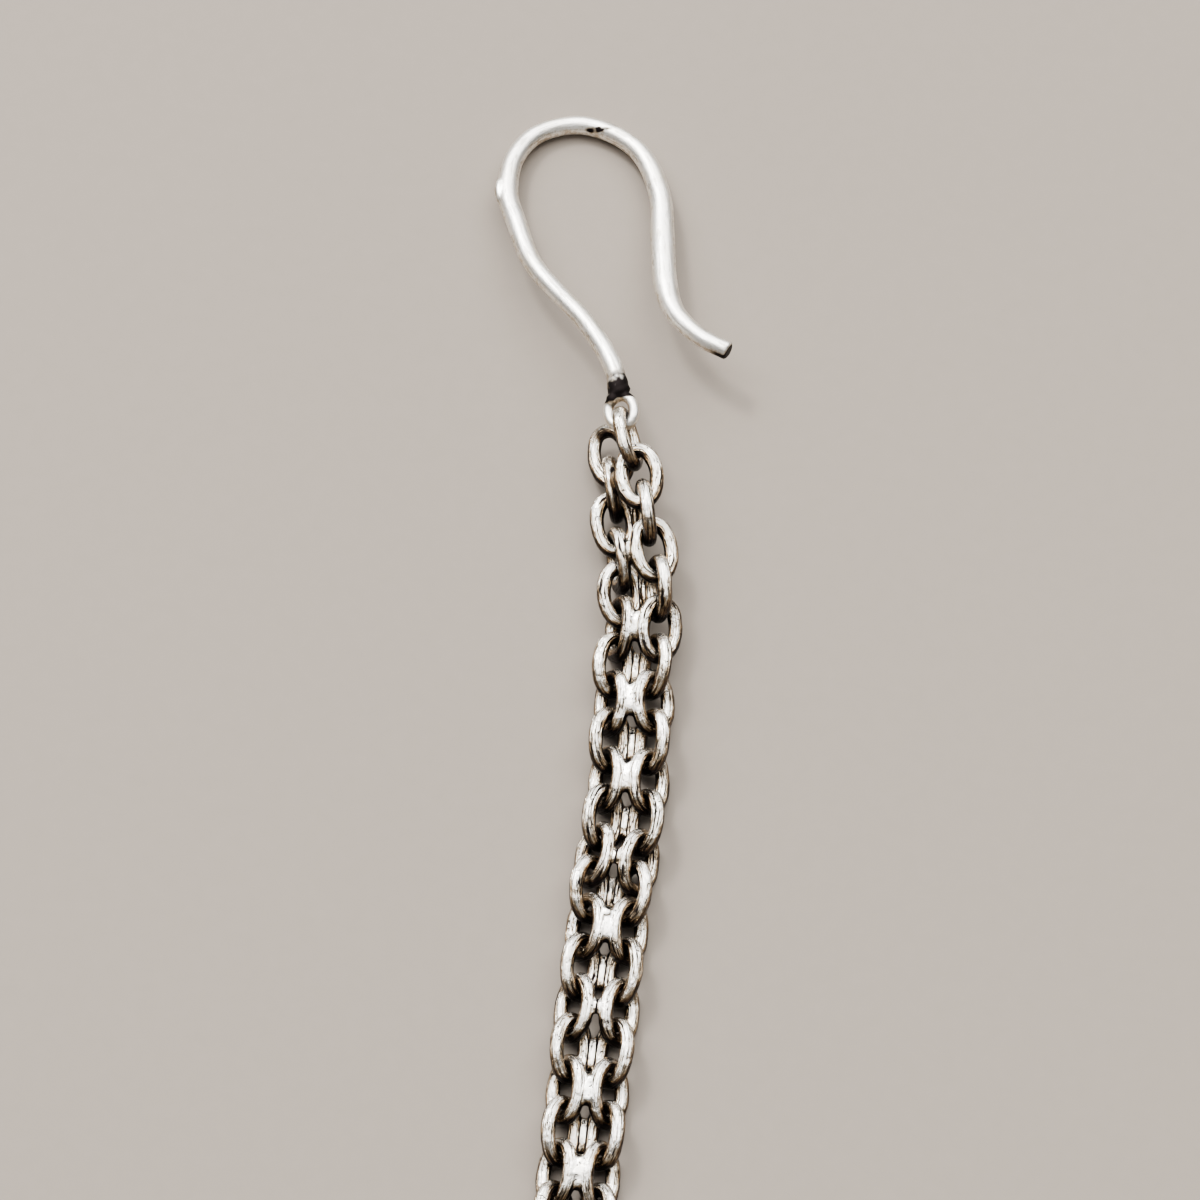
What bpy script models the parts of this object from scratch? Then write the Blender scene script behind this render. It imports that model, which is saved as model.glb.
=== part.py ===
"""Maang tikka: a bent wire hook, a double-row chain of soldered link pairs and a round drop.

Metres, +Z up. Everything lies on the plane z = 0, with the hook at +Y and the drop at -Y.
"""

import math

import bmesh
import bpy
from mathutils import Matrix, Vector

MM = 0.001
WELD_DISTANCE = 0.001 * MM
SHARP_ANGLE = math.radians(50)

# Chain: two rows of oval links, each link soldered along one side to its twin in the other row
LINK_WIRE = 0.96 * MM
LINK_PITCH = 2.71 * MM
LINK_CLEARANCE = 0.07 * MM
LINK_SPAN = 2.4 * MM
LINK_TILT = math.radians(45)
LINK_COUNT = 31
LINK_SEGMENTS = 12
LINK_SIDES = 6
OVAL_SQUARENESS = 0.87
SEAM_GAP = 0.06 * MM
SOLDER_BEAD = 0.62 * MM
SOLDER_LENGTH = 1.3 * MM
SOLDER_RINGS = 4

# Hook: a bent round wire with a small oval ring soldered to its lower end
HOOK_WIRE = 1.32 * MM
HOOK_WIDTH = 14.9 * MM
HOOK_LENGTH = 22.45 * MM
HOOK_STEPS = 44
HOOK_SIDES = 8
HOOK_RING_WIRE = 0.72 * MM
HOOK_RING_LENGTH = 2.15 * MM
HOOK_RING_SPAN = 1.8 * MM
HOOK_SOLDER_LENGTH = 2.3 * MM
HOOK_SOLDER_WIDTH = 1.65 * MM
HOOK_SOLDER_RINGS = 6

# Ring between the chain and the drop
END_RING_WIRE = 0.64 * MM
END_RING_DIAMETER = 7.0 * MM
END_RING_PLAY = 0.6 * MM
END_RING_SEGMENTS = 16

# Drop: a round plate with a flat back, a rim and a low dome, and an upright oval ring at its top
DROP_DIAMETER = 24.0 * MM
DROP_RIM_WIDTH = 1.6 * MM
DROP_RIM_HEIGHT = 1.2 * MM
DROP_DOME_HEIGHT = 2.4 * MM
DROP_BACK_CHAMFER = 0.2 * MM
DROP_SEGMENTS = 40
DROP_DOME_STEPS = 5
DROP_RING_WIRE = 0.8 * MM
DROP_RING_LENGTH = 3.4 * MM
DROP_RING_HEIGHT = 2.2 * MM
DROP_RING_SEAT = 0.5 * MM
DROP_RING_PLAY = 0.1 * MM

# Centre line of the hook from its ring to its cut end: across and along as shares of its width and
# its length, and how thick the hammered wire is there, as a share of its gauge
HOOK_OUTLINE = [
    (0.000, 0.000, 1.00),
    (-0.022, 0.110, 1.00),
    (-0.146, 0.267, 0.98),
    (-0.374, 0.465, 1.00),
    (-0.469, 0.640, 1.06),
    (-0.506, 0.745, 1.10),
    (-0.478, 0.872, 1.06),
    (-0.368, 0.966, 1.00),
    (-0.180, 1.000, 1.00),
    (0.008, 0.955, 1.04),
    (0.130, 0.868, 1.10),
    (0.200, 0.722, 1.17),
    (0.208, 0.569, 1.26),
    (0.219, 0.410, 1.24),
    (0.262, 0.302, 1.06),
    (0.372, 0.215, 0.97),
    (0.503, 0.161, 0.97),
]

# Route of the chain from the hook to the drop: across and along in metres, roll in degrees, and slack,
# which is how much closer than their full pitch two neighbours lie there, in metres
CHAIN_ROUTE = [
    (0.00130, 0.0000, 66, 0.00015),
    (0.00152, -0.0010, 60, 0.00015),
    (0.00176, -0.0027, 50, 0.00015),
    (0.00202, -0.0052, 40, 0.00015),
    (0.00240, -0.0076, 31, 0.00015),
    (0.00262, -0.0101, 25, 0.00015),
    (0.00262, -0.0127, 17, 0.00015),
    (0.00225, -0.0152, 10, 0.00013),
    (0.00200, -0.0204, 6, 0.00000),
    (0.00156, -0.0258, 3, 0.00005),
    (0.00117, -0.0280, 1, 0.00050),
    (0.00075, -0.0302, 0, 0.00020),
    (0.00048, -0.0330, 0, 0.00000),
    (-0.00020, -0.0385, 0, 0.00000),
    (-0.00107, -0.0465, 0, 0.00000),
    (-0.00155, -0.0516, 0, 0.00000),
    (-0.00182, -0.0580, 0, 0.00000),
    (-0.00185, -0.0680, 0, 0.00000),
    (-0.00185, -0.0860, 0, 0.00000),
]
ROUTE_SAMPLES = 600

LINK_REACH = LINK_PITCH + LINK_WIRE + LINK_CLEARANCE
PAIR_DEPTH = LINK_SPAN / 2 * math.sin(LINK_TILT)
PAIR_OFFSET = (LINK_WIRE + SEAM_GAP + LINK_SPAN * math.cos(LINK_TILT)) / 2
PAIR_EDGE = PAIR_OFFSET + LINK_SPAN / 2 * math.cos(LINK_TILT)


def clear_scene():
    """Remove every object, so that the file holds only the model."""
    for old in list(bpy.data.objects):
        bpy.data.objects.remove(old, do_unlink=True)


def metal(name, colour, roughness):
    """A metallic material."""
    material = bpy.data.materials.new(name)
    material.use_nodes = True
    shader = material.node_tree.nodes["Principled BSDF"]
    shader.inputs["Base Color"].default_value = (*colour, 1.0)
    shader.inputs["Metallic"].default_value = 1.0
    shader.inputs["Roughness"].default_value = roughness
    return material


def smooth_line(points, count):
    """Evenly numbered points on a Catmull-Rom curve through the given points."""
    first = points[0] * 2 - points[1]
    last = points[-1] * 2 - points[-2]
    padded = [first, *points, last]
    line = []
    for step in range(count + 1):
        position = step / count * (len(points) - 1)
        index = min(int(position), len(points) - 2)
        t = position - index
        a, b, c, d = padded[index : index + 4]
        line.append(
            (b * 2 + (c - a) * t + (a * 2 - b * 5 + c * 4 - d) * t**2 + (b * 3 - a - c * 3 + d) * t**3) / 2
        )
    return line


def point_at(line, length):
    """Point of a polyline at the given length from its start, measured in plan."""
    start = 0.0
    for here, further in zip(line, line[1:]):
        step = (further - here).to_2d().length
        if start + step > length:
            break
        start += step
    return here.lerp(further, (length - start) / step)


def squared(value):
    """A sine or cosine pushed outwards, which makes an ellipse slightly square."""
    return math.copysign(abs(value) ** OVAL_SQUARENESS, value)


def oval(reach, span, segments):
    """Centres of an oval wire in the XY plane, its longer way along Y, with a flat at each end."""
    widen = 1 / squared(math.cos(math.pi / segments))
    centres = []
    for step in range(segments):
        angle = 2 * math.pi * (step + 0.5) / segments
        across = span / 2 * widen * squared(math.cos(angle))
        centres.append(Vector((across, reach / 2 * widen * squared(math.sin(angle)), 0)))
    return centres


def wire_mesh(name, centres, wire, sides, closed, shares=None):
    """Mesh of a wire along a line of centres, with a share of its gauge for each centre where it varies."""
    curve = bpy.data.curves.new(name, "CURVE")
    curve.dimensions = "3D"
    curve.bevel_depth = wire / 2
    curve.bevel_resolution = (sides - 4) // 2
    curve.use_fill_caps = not closed
    spline = curve.splines.new("POLY")
    spline.points.add(len(centres) - 1)
    for point, centre, share in zip(spline.points, centres, shares or [1.0] * len(centres)):
        point.co = (*centre, 1.0)
        point.radius = share
    spline.use_cyclic_u = closed
    carrier = bpy.data.objects.new(name, curve)
    mesh = bpy.data.meshes.new_from_object(carrier)
    bpy.data.objects.remove(carrier)
    return closed_mesh(mesh)


def closed_mesh(mesh):
    """Weld the mesh and turn its faces outwards."""
    shape = bmesh.new()
    shape.from_mesh(mesh)
    bmesh.ops.remove_doubles(shape, verts=shape.verts, dist=WELD_DISTANCE)
    bmesh.ops.recalc_face_normals(shape, faces=shape.faces)
    shape.to_mesh(mesh)
    shape.free()
    return mesh


def turned_mesh(name, profile, steps):
    """Mesh turned about Z from a profile of radius and height that starts and ends on the axis."""
    shape = bmesh.new()
    line = [shape.verts.new((radius, 0, height)) for radius, height in profile]
    edges = [shape.edges.new(pair) for pair in zip(line, line[1:])]
    bmesh.ops.spin(
        shape, geom=[*line, *edges], axis=(0, 0, 1), cent=(0, 0, 0), angle=2 * math.pi, steps=steps, use_merge=True
    )
    bmesh.ops.remove_doubles(shape, verts=shape.verts, dist=WELD_DISTANCE)
    bmesh.ops.recalc_face_normals(shape, faces=shape.faces)
    mesh = bpy.data.meshes.new(name)
    shape.to_mesh(mesh)
    shape.free()
    return mesh


def bead_mesh(name, matrix, segments, rings):
    """A ball of unit diameter set into a shape and place by a matrix."""
    shape = bmesh.new()
    bmesh.ops.create_uvsphere(shape, u_segments=segments, v_segments=rings, radius=0.5, matrix=matrix)
    mesh = bpy.data.meshes.new(name)
    shape.to_mesh(mesh)
    shape.free()
    return mesh


def fused(name, meshes):
    """One closed mesh that is the union of several."""
    body = bpy.data.objects.new(name, meshes[0])
    bpy.context.collection.objects.link(body)
    helpers = []
    for mesh in meshes[1:]:
        helper = bpy.data.objects.new(name + "_helper", mesh)
        helper.hide_render = True
        helper.display_type = "WIRE"
        bpy.context.collection.objects.link(helper)
        union = body.modifiers.new("fuse", "BOOLEAN")
        union.operation = "UNION"
        union.solver = "EXACT"
        union.object = helper
        helpers.append(helper)
    depsgraph = bpy.context.evaluated_depsgraph_get()
    mesh = bpy.data.meshes.new_from_object(body.evaluated_get(depsgraph))
    for used in [body, *helpers]:
        bpy.data.objects.remove(used, do_unlink=True)
    return closed_mesh(mesh)


def place(name, mesh, material, matrix, parent):
    """Put a smooth-shaded object with its material under the parent."""
    mesh.materials.clear()
    mesh.materials.append(material)
    mesh.shade_smooth()
    mesh.set_sharp_from_angle(angle=SHARP_ANGLE)
    piece = bpy.data.objects.new(name, mesh)
    bpy.context.collection.objects.link(piece)
    piece.parent = parent
    piece.matrix_local = matrix
    return piece


def frame_at(centre, towards_hook, roll):
    """Place of a chain part: +Y towards the hook and the right side raised by the roll."""
    forward = towards_hook.normalized()
    side = forward.cross(Vector((0, 0, 1))).normalized()
    up = side.cross(forward)
    basis = Matrix((side, forward, up)).transposed().to_4x4()
    return Matrix.Translation(centre) @ basis @ Matrix.Rotation(-roll, 4, "Y")


def axis_height(roll):
    """Height of the chain's axis where its lowest wires lie on the plane z = 0."""
    return LINK_WIRE / 2 + PAIR_EDGE * abs(math.sin(roll)) + PAIR_DEPTH * math.cos(roll)


def axis_point(line, length):
    """Point of the chain's axis at the given length along its route."""
    station = point_at(line, length)
    return Vector((station.x, station.y, axis_height(station.z)))


def chain_frames():
    """Frames of the link pairs, from the hook to the drop."""
    stations = [Vector((across, along, math.radians(roll), slack)) for across, along, roll, slack in CHAIN_ROUTE]
    line = smooth_line(stations, ROUTE_SAMPLES)
    frames = []
    length = 0.0
    for _ in range(LINK_COUNT):
        towards_hook = axis_point(line, length - LINK_PITCH / 2) - axis_point(line, length + LINK_PITCH / 2)
        station = point_at(line, length)
        frames.append(frame_at(axis_point(line, length), towards_hook, station.z))
        length += LINK_PITCH - station.w
    return frames


def link_pair_mesh():
    """Two oval links leaning apart like a V, soldered along their lower sides."""
    meshes = []
    for side in (-1, 1):
        link = wire_mesh("link", oval(LINK_REACH, LINK_SPAN, LINK_SEGMENTS), LINK_WIRE, LINK_SIDES, True)
        lean = Matrix.Rotation(-side * LINK_TILT, 4, "Y")
        link.transform(Matrix.Translation((side * PAIR_OFFSET, 0, 0)) @ lean)
        meshes.append(link)
    size = Matrix.Diagonal((SOLDER_BEAD, SOLDER_LENGTH, SOLDER_BEAD, 1))
    meshes.append(bead_mesh("solder", Matrix.Translation((0, 0, -PAIR_DEPTH)) @ size, LINK_SIDES, SOLDER_RINGS))
    return fused("double_link", meshes)


def hook_ring_frame(first_pair):
    """Place of the hook's ring, threaded through the raised link of the first pair."""
    along = LINK_REACH / 2 - LINK_WIRE / 2 - HOOK_RING_WIRE / 2 - LINK_CLEARANCE + HOOK_RING_LENGTH / 2
    crossing = Matrix.Rotation(-LINK_TILT + math.radians(90), 4, "Y")
    return first_pair @ Matrix.Translation((PAIR_OFFSET, along, 0)) @ crossing


def hook_mesh(ring_frame):
    """Bent wire, its ring and the solder between them, as one solid."""
    ring = wire_mesh("ring", oval(HOOK_RING_LENGTH, HOOK_RING_SPAN, LINK_SEGMENTS), HOOK_RING_WIRE, LINK_SIDES, True)
    ring.transform(ring_frame)
    joint = ring_frame @ Vector((0, HOOK_RING_LENGTH / 2, 0))
    outline = []
    for across, along, share in HOOK_OUTLINE:
        height = joint.z + (HOOK_WIRE / 2 - joint.z) * along
        outline.append(Vector((joint.x + across * HOOK_WIDTH, joint.y + along * HOOK_LENGTH, height, share)))
    line = smooth_line(outline, HOOK_STEPS)
    centres = [point.to_3d() for point in line]
    wire = wire_mesh("wire", centres, HOOK_WIRE, HOOK_SIDES, False, [point.w for point in line])
    size = Matrix.Diagonal((HOOK_SOLDER_WIDTH, HOOK_SOLDER_LENGTH, HOOK_SOLDER_WIDTH, 1))
    above = Vector((0, (HOOK_SOLDER_LENGTH - HOOK_RING_WIRE) / 2, 0))
    solder = bead_mesh("solder", Matrix.Translation(joint + above) @ size, HOOK_SIDES, HOOK_SOLDER_RINGS)
    return fused("hair_hook", [wire, ring, solder])


def end_ring_centre(last_pair):
    """Centre of the ring that passes through both links of the last pair."""
    half_chord = math.sqrt((END_RING_DIAMETER / 2) ** 2 - PAIR_OFFSET**2)
    crossing = -LINK_REACH / 2 + LINK_WIRE / 2 + END_RING_WIRE / 2 + END_RING_PLAY
    return last_pair @ Vector((0, crossing - half_chord, 0))


def end_ring_mesh():
    """Round jump ring lying flat."""
    centres = oval(END_RING_DIAMETER, END_RING_DIAMETER, END_RING_SEGMENTS)
    return wire_mesh("end_ring", centres, END_RING_WIRE, LINK_SIDES, True)


def drop_mesh():
    """Round domed plate with its upright ring, centred on the plate, its back at z = 0."""
    radius = DROP_DIAMETER / 2
    dome_radius = radius - DROP_RIM_WIDTH
    profile = [(0, 0), (radius - DROP_BACK_CHAMFER, 0), (radius, DROP_BACK_CHAMFER), (radius, DROP_RIM_HEIGHT)]
    for step in range(DROP_DOME_STEPS + 1):
        angle = math.pi / 2 * step / DROP_DOME_STEPS
        height = DROP_RIM_HEIGHT + (DROP_DOME_HEIGHT - DROP_RIM_HEIGHT) * math.sin(angle)
        profile.append((dome_radius * math.cos(angle), height))
    plate = turned_mesh("plate", profile, DROP_SEGMENTS)
    ring = wire_mesh("ring", oval(DROP_RING_LENGTH, DROP_RING_HEIGHT, LINK_SEGMENTS), DROP_RING_WIRE, LINK_SIDES, True)
    seat = radius + DROP_RING_LENGTH / 2 - DROP_RING_SEAT
    height = DROP_RING_HEIGHT / 2 + DROP_RING_WIRE / 2
    ring.transform(Matrix.Translation((0, seat, height)) @ Matrix.Rotation(math.radians(90), 4, "Y"))
    return fused("drop", [plate, ring])


def drop_centre(end_ring):
    """Centre of the drop's back, where its ring hangs on the end ring."""
    ring_top = DROP_DIAMETER / 2 + DROP_RING_LENGTH - DROP_RING_SEAT
    hold = END_RING_DIAMETER / 2 - END_RING_WIRE / 2 - DROP_RING_WIRE / 2 - DROP_RING_PLAY
    return Vector((end_ring.x, end_ring.y - hold - ring_top, 0))


def centre_on_origin(root, pieces):
    """Move the parent so that the whole piece is centred over the origin."""
    bpy.context.view_layer.update()
    corners = [piece.matrix_world @ vertex.co for piece in pieces for vertex in piece.data.vertices]
    for axis in (0, 1):
        values = [corner[axis] for corner in corners]
        root.location[axis] = -(min(values) + max(values)) / 2
    root.location.z = -min(corner.z for corner in corners)


def build():
    """Make every piece of the maang tikka."""
    clear_scene()
    polished = metal("polished_silver", (0.88, 0.86, 0.82), 0.18)
    aged = metal("aged_silver", (0.78, 0.75, 0.70), 0.28)
    satin = metal("satin_silver", (0.84, 0.82, 0.78), 0.34)

    root = bpy.data.objects.new("maang_tikka", None)
    bpy.context.collection.objects.link(root)
    frames = chain_frames()
    pieces = [place("hair_hook", hook_mesh(hook_ring_frame(frames[0])), polished, Matrix(), root)]

    pair = link_pair_mesh()
    for index, frame in enumerate(frames):
        turned = Matrix.Rotation(math.pi * (index % 2), 4, "Y")
        pieces.append(place(f"double_link_{index + 1:02d}", pair, aged, frame @ turned, root))

    end_ring = end_ring_centre(frames[-1])
    pieces.append(place("end_ring", end_ring_mesh(), aged, Matrix.Translation(end_ring), root))
    pieces.append(place("drop", drop_mesh(), satin, Matrix.Translation(drop_centre(end_ring)), root))
    centre_on_origin(root, pieces)


build()
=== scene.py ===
"""Looks of the maang tikka: worn silver wire over the solids, a pale floor, studio light and the camera.

Sizes are in millimetres unless a name ends in _M. The frame is in metres, with +Z up and the hook at +Y.
"""

import math
import random

import bmesh
import bpy
import numpy as np
from mathutils import Matrix, Vector, noise


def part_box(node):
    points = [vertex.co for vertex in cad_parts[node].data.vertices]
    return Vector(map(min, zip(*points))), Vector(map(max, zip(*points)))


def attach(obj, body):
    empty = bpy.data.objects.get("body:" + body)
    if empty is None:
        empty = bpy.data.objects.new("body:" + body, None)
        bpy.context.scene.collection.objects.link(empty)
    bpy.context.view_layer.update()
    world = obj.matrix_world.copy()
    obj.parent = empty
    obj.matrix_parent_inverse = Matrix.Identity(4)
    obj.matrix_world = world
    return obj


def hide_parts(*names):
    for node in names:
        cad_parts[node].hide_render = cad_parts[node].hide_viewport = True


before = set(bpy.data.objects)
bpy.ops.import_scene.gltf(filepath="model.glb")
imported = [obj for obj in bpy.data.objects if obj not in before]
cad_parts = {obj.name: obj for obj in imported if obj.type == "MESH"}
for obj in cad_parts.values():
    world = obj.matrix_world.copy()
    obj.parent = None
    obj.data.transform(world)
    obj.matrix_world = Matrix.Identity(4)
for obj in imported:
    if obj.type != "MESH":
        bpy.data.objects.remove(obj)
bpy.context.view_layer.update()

MM = 0.001
SMALLEST_REACH = 1e-6

# Chain, as in the solids
LINK_WIRE = 0.96
LINK_PITCH = 2.71
LINK_CLEARANCE = 0.07
LINK_SPAN = 2.4
LINK_TILT = math.radians(45)
END_BLUNTNESS = 0.85
SEAM_GAP = 0.06
LINK_COUNT = sum(name.startswith("double_link_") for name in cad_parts)

# Hook, as in the solids
HOOK_WIRE = 1.32
HOOK_WIDTH = 14.9
HOOK_LENGTH = 22.45
HOOK_RING_WIRE = 0.72
HOOK_RING_LENGTH = 2.15
HOOK_RING_SPAN = 1.8
HOOK_SOLDER_LENGTH = 2.3
HOOK_SOLDER_WIDTH = 1.65

# End ring and drop, as in the solids
END_RING_WIRE = 0.64
END_RING_DIAMETER = 7.0
END_RING_PLAY = 0.6
DROP_DIAMETER = 24.0
DROP_RIM_WIDTH = 1.6
DROP_RIM_HEIGHT = 1.2
DROP_DOME_HEIGHT = 2.4
DROP_RING_WIRE = 0.8
DROP_RING_LENGTH = 3.4
DROP_RING_HEIGHT = 2.2
DROP_RING_SEAT = 0.5

# Centre line of the hook from its ring to its cut end: across and along as shares of its width and
# its length, and how thick the hammered wire is there, as a share of its gauge
HOOK_OUTLINE = [
    (0.000, 0.000, 1.00),
    (-0.022, 0.110, 1.00),
    (-0.146, 0.267, 0.98),
    (-0.374, 0.465, 1.00),
    (-0.469, 0.640, 1.06),
    (-0.506, 0.745, 1.10),
    (-0.478, 0.872, 1.06),
    (-0.368, 0.966, 1.00),
    (-0.180, 1.000, 1.00),
    (0.008, 0.955, 1.04),
    (0.130, 0.868, 1.10),
    (0.200, 0.722, 1.17),
    (0.208, 0.569, 1.26),
    (0.219, 0.410, 1.24),
    (0.262, 0.302, 1.06),
    (0.372, 0.215, 0.97),
    (0.503, 0.161, 0.97),
]

# Route of the chain from the hook to the drop: across, along, roll in degrees, and slack
CHAIN_ROUTE = [
    (1.30, 0.0, 66, 0.15),
    (1.52, -1.0, 60, 0.15),
    (1.76, -2.7, 50, 0.15),
    (2.02, -5.2, 40, 0.15),
    (2.40, -7.6, 31, 0.15),
    (2.62, -10.1, 25, 0.15),
    (2.62, -12.7, 17, 0.15),
    (2.25, -15.2, 10, 0.13),
    (2.00, -20.4, 6, 0.00),
    (1.56, -25.8, 3, 0.05),
    (1.17, -28.0, 1, 0.50),
    (0.75, -30.2, 0, 0.20),
    (0.48, -33.0, 0, 0.00),
    (-0.20, -38.5, 0, 0.00),
    (-1.07, -46.5, 0, 0.00),
    (-1.55, -51.6, 0, 0.00),
    (-1.82, -58.0, 0, 0.00),
    (-1.85, -68.0, 0, 0.00),
    (-1.85, -86.0, 0, 0.00),
]
ROUTE_SAMPLES = 600

LINK_REACH = LINK_PITCH + LINK_WIRE + LINK_CLEARANCE
PAIR_DEPTH = LINK_SPAN / 2 * math.sin(LINK_TILT)
PAIR_OFFSET = (LINK_WIRE + SEAM_GAP + LINK_SPAN * math.cos(LINK_TILT)) / 2
PAIR_EDGE = PAIR_OFFSET + LINK_SPAN / 2 * math.cos(LINK_TILT)

# Fineness of the meshes
LINK_STEPS = 72
LINK_SIDES = 20
HOOK_STEPS = 320
HOOK_SIDES = 32
BEAD_SIDES = 24
BEAD_RINGS = 14
PLATE_STEPS = 160
LINK_VOXEL = 0.085
HOOK_VOXEL = 0.10
SMOOTHING_ROUNDS = 4

# Camera, at the photograph's angle
CAMERA_RISE = math.radians(68)
CAMERA_DISTANCE = 280.0
CAMERA_AIM = (0.0, -9.85, 0.0)
PIXELS_PER_MM = 15.0
PICTURE_PIXELS = 1200
SENSOR = 36.0

# Floor
FLOOR_HALF_M = 1.2
FLOOR_FIBRES = (900.0, 3.0)
FLOOR_DARK = (0.235, 0.203, 0.172, 1)
FLOOR_PALE = (0.252, 0.218, 0.186, 1)
FLOOR_ROUGHNESS = 0.9
FLOOR_SPECULAR = 0.1

# Light: a tent that ends above a dim horizon, a grey card in front, and a small key light
KEY_PLACE_M = (-0.18, 0.34, 0.42)
KEY_AIM_M = (0, 0.03, 0)
KEY_SIZE_M = 0.10
KEY_POWER = 3.0
KEY_COLOUR = (1.0, 0.98, 0.95)
SKY_COLOUR = (1.0, 0.985, 0.96, 1.0)
TENT_AXIS = (-0.04, 0.50, 0.865)
TENT_NARROWING = (0.6, 1.0, 1.0)
TENT_EDGE = (0.72, 0.93)
HORIZON_LIGHT = 0.09
TENT_LIGHT = 8.0
CARD_AXIS = (0.0, -0.90, 0.436)
CARD_EDGE = (0.55, 0.97)
CARD_LIGHT = 0.45


# Route of the chain
def smooth_line(points, count):
    """Points on a Catmull-Rom curve through the given points."""
    first = points[0] * 2 - points[1]
    last = points[-1] * 2 - points[-2]
    padded = [first, *points, last]
    line = []
    for step in range(count + 1):
        position = step / count * (len(points) - 1)
        index = min(int(position), len(points) - 2)
        t = position - index
        a, b, c, d = padded[index : index + 4]
        line.append(
            (b * 2 + (c - a) * t + (a * 2 - b * 5 + c * 4 - d) * t**2 + (b * 3 - a - c * 3 + d) * t**3) / 2
        )
    return line


def point_at(line, length):
    """Point of a polyline at the given length from its start, measured in plan."""
    start = 0.0
    for here, further in zip(line, line[1:]):
        step = (further - here).to_2d().length
        if start + step > length:
            break
        start += step
    return here.lerp(further, (length - start) / step)


def frame_at(centre, towards_hook, roll):
    """Place of a chain part: +Y towards the hook and the right side raised by the roll."""
    forward = towards_hook.normalized()
    side = forward.cross(Vector((0, 0, 1))).normalized()
    up = side.cross(forward)
    basis = Matrix((side, forward, up)).transposed().to_4x4()
    return Matrix.Translation(centre) @ basis @ Matrix.Rotation(-roll, 4, "Y")


def axis_height(roll):
    """Height of the chain's axis where its lowest wires lie on the floor."""
    return LINK_WIRE / 2 + PAIR_EDGE * abs(math.sin(roll)) + PAIR_DEPTH * math.cos(roll)


def axis_point(line, length):
    """Point of the chain's axis at the given length along its route."""
    station = point_at(line, length)
    return Vector((station.x, station.y, axis_height(station.z)))


def chain_frames():
    """Frames of the link pairs, from the hook to the drop."""
    stations = []
    for across, along, roll, slack in CHAIN_ROUTE:
        stations.append(Vector((across, along, math.radians(roll), slack)))
    line = smooth_line(stations, ROUTE_SAMPLES)
    frames = []
    length = 0.0
    half_pitch = LINK_PITCH / 2
    for _ in range(LINK_COUNT):
        towards_hook = axis_point(line, length - half_pitch) - axis_point(line, length + half_pitch)
        station = point_at(line, length)
        frames.append(frame_at(axis_point(line, length), towards_hook, station.z))
        length += LINK_PITCH - station.w
    return frames


def hook_ring_frame(first_pair):
    """Place of the hook's ring, threaded through the raised link of the first pair."""
    along = LINK_REACH / 2 - LINK_WIRE / 2 - HOOK_RING_WIRE / 2 - LINK_CLEARANCE + HOOK_RING_LENGTH / 2
    crossing = Matrix.Rotation(-LINK_TILT + math.radians(90), 4, "Y")
    return first_pair @ Matrix.Translation((PAIR_OFFSET, along, 0)) @ crossing


def end_ring_centre(last_pair):
    """Centre of the ring that passes through both links of the last pair."""
    half_chord = math.sqrt((END_RING_DIAMETER / 2) ** 2 - PAIR_OFFSET**2)
    crossing = -LINK_REACH / 2 + LINK_WIRE / 2 + END_RING_WIRE / 2 + END_RING_PLAY
    return last_pair @ Vector((0, crossing - half_chord, 0))


def row_shift(end_ring):
    """How far the solids' own frame lies from the row's frame, read from the end ring's box."""
    low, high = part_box("end_ring")
    return (low + high) / 2 / MM - end_ring


# Wire meshes
def oval(reach, span, steps):
    """Centres of an oval wire in the XY plane, its longer way along Y, with curved sides and blunt ends."""
    angles = 2 * np.pi * (np.arange(steps) + 0.5) / steps
    across = np.sign(np.cos(angles)) * np.abs(np.cos(angles)) ** END_BLUNTNESS
    return np.stack([span / 2 * across, reach / 2 * np.sin(angles), np.zeros(steps)], axis=1)


def wire_frames(centres, up, closed):
    """The two unit directions across the wire, sideways and upwards, for each centre."""
    if closed:
        tangents = np.roll(centres, -1, axis=0) - np.roll(centres, 1, axis=0)
    else:
        tangents = np.gradient(centres, axis=0)
    tangents /= np.linalg.norm(tangents, axis=1)[:, None]
    sideways = np.cross(tangents, np.asarray(up, float))
    sideways /= np.linalg.norm(sideways, axis=1)[:, None]
    return sideways, np.cross(sideways, tangents)


def tube(centres, up, half_wide, half_high, sides, closed):
    """Vertices and faces of a wire whose section may change along it."""
    sideways, upwards = wire_frames(centres, up, closed)
    count = len(centres)
    half_wide = np.broadcast_to(half_wide, (count,))
    half_high = np.broadcast_to(half_high, (count,))
    angles = 2 * np.pi * np.arange(sides) / sides
    rings = (
        centres[:, None, :]
        + sideways[:, None, :] * (np.cos(angles)[None, :, None] * half_wide[:, None, None])
        + upwards[:, None, :] * (np.sin(angles)[None, :, None] * half_high[:, None, None])
    )
    points = rings.reshape(-1, 3)
    faces = []
    for step in range(count if closed else count - 1):
        here = step * sides
        there = (step + 1) % count * sides
        for side in range(sides):
            across = (side + 1) % sides
            faces.append((here + side, here + across, there + across, there + side))
    if not closed:
        faces.append(tuple(range(sides - 1, -1, -1)))
        faces.append(tuple((count - 1) * sides + side for side in range(sides)))
    return points, faces


def bead(centre, size, turn=0.0):
    """Vertices and faces of a ball of the given size, turned about Z."""
    shape = bmesh.new()
    matrix = Matrix.Translation(centre) @ Matrix.Rotation(turn, 4, "Z") @ Matrix.Diagonal((*size, 1))
    bmesh.ops.create_uvsphere(
        shape, u_segments=BEAD_SIDES, v_segments=BEAD_RINGS, radius=0.5, matrix=matrix
    )
    points = np.array([tuple(vertex.co) for vertex in shape.verts])
    faces = [tuple(vertex.index for vertex in face.verts) for face in shape.faces]
    shape.free()
    return points, faces


def moved(part, matrix):
    """A part's vertices and faces after a move."""
    points, faces = part
    turn = np.array(matrix.to_3x3())
    return points @ turn.T + np.array(matrix.translation), faces


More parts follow.
